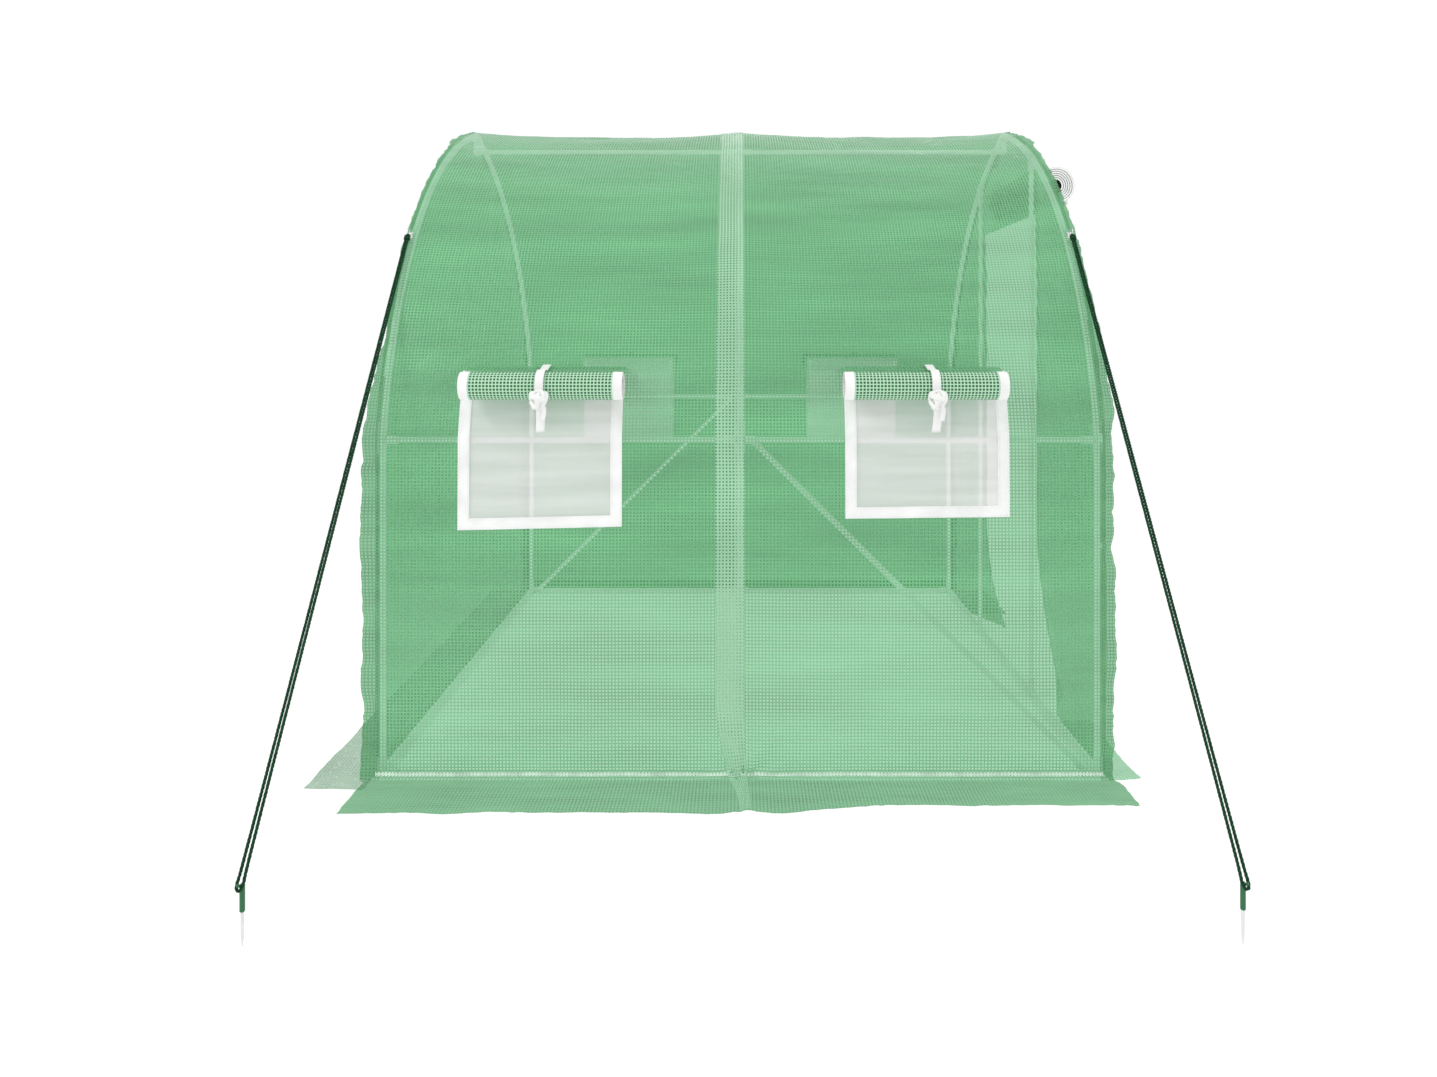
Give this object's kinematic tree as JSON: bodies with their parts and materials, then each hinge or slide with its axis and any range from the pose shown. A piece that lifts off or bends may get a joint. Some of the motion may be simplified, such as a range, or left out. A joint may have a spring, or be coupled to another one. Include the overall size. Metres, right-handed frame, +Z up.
{
  "type": "tunnel greenhouse",
  "caption": "Walk-in tunnel greenhouse: steel tube hoops under a green grid-reinforced film cover with netted windows, roll-up window flaps, a roll-up zipped door and guy lines.",
  "frame": {"origin": "on the ground at the middle of the floor", "axes": "+X runs along the tunnel towards the door end, +Y towards the back side wall, +Z up"},
  "size_m": [2.42, 2.9711, 2.007],
  "materials": {
    "frame_white": "white powder coat, satin",
    "connector_white": "white moulded plastic",
    "film_green": "translucent green grid-reinforced film",
    "net_white": "fine white insect netting",
    "band_green": "doubled film, paler",
    "strap_white": "white woven strap",
    "zip_white": "woven zip tape with a coil",
    "slider_steel": "white-painted zinc",
    "rope_green": "twisted dark green cord",
    "stake_green": "dark green moulded sleeve on a steel pin",
    "ring_steel": "zinc plated"
  },
  "bodies": {
    "root": {"brace_back": "frame_white", "brace_front": "frame_white", "brace_screws": "ring_steel", "centre_band": "band_green", "door_post_back": "frame_white", "door_post_front": "frame_white", "door_zips": "zip_white", "eaves_connectors": "connector_white", "end_bar_closed": "frame_white", "end_bar_door": "frame_white", "end_skirts": "film_green", "end_wall_closed": "film_green", "end_wall_door": "film_green", "feet": "connector_white", "flap_ties": "strap_white", "ground_bar_back_closed": "frame_white", "ground_bar_back_door": "frame_white", "ground_bar_front_closed": "frame_white", "ground_bar_front_door": "frame_white", "guy_rings": "ring_steel", "guy_rope_closed": "rope_green", "guy_rope_door": "rope_green", "guy_stakes": "stake_green", "leg_back_closed": "frame_white", "leg_back_door": "frame_white", "leg_back_mid": "frame_white", "leg_front_closed": "frame_white", "leg_front_door": "frame_white", "leg_front_mid": "frame_white", "post_connectors": "connector_white", "purlin_back_closed": "frame_white", "purlin_back_door": "frame_white", "purlin_front_closed": "frame_white", "purlin_front_door": "frame_white", "rafter_back_closed": "frame_white", "rafter_back_door": "frame_white", "rafter_back_mid": "frame_white", "rafter_front_closed": "frame_white", "rafter_front_door": "frame_white", "rafter_front_mid": "frame_white", "ridge_bar_closed": "frame_white", "ridge_bar_door": "frame_white", "ridge_connectors": "connector_white", "roof_back": "film_green", "roof_front": "film_green", "side_skirts": "film_green", "wall_back": "film_green", "wall_front": "film_green", "window_net_back_closed": "net_white", "window_net_back_door": "net_white", "window_net_front_closed": "net_white", "window_net_front_door": "net_white"},
    "window_flap_front_closed": {"flap_roll_front_closed": "film_green"},
    "window_flap_front_door": {"flap_roll_front_door": "film_green"},
    "window_flap_back_closed": {"flap_roll_back_closed": "film_green"},
    "window_flap_back_door": {"flap_roll_back_door": "film_green"},
    "door_flap": {"door_roll": "film_green"},
    "zip_slider_front": {"zip_slider_front": "slider_steel"},
    "zip_slider_back": {"zip_slider_back": "slider_steel"}
  },
  "joints": [
    {"name": "window_flap_front_closed_drop", "type": "slide", "parent": "root", "child": "window_flap_front_closed", "axis": [0, -0.1045, -0.9945], "range_m": [0, 0.363]},
    {"name": "window_flap_front_door_drop", "type": "slide", "parent": "root", "child": "window_flap_front_door", "axis": [0, -0.1045, -0.9945], "range_m": [0, 0.363]},
    {"name": "window_flap_back_closed_drop", "type": "slide", "parent": "root", "child": "window_flap_back_closed", "axis": [0, 0.1045, -0.9945], "range_m": [0, 0.363]},
    {"name": "window_flap_back_door_drop", "type": "slide", "parent": "root", "child": "window_flap_back_door", "axis": [0, 0.1045, -0.9945], "range_m": [0, 0.363]},
    {"name": "door_flap_drop", "type": "slide", "parent": "root", "child": "door_flap", "axis": [0, 0, -1], "range_m": [0, 1.66]},
    {"name": "zip_slider_front_run", "type": "slide", "parent": "root", "child": "zip_slider_front", "axis": [0, 0, -1], "range_m": [0, 1.5]},
    {"name": "zip_slider_back_run", "type": "slide", "parent": "root", "child": "zip_slider_back", "axis": [0, 0, -1], "range_m": [0, 1.5]}
  ]
}
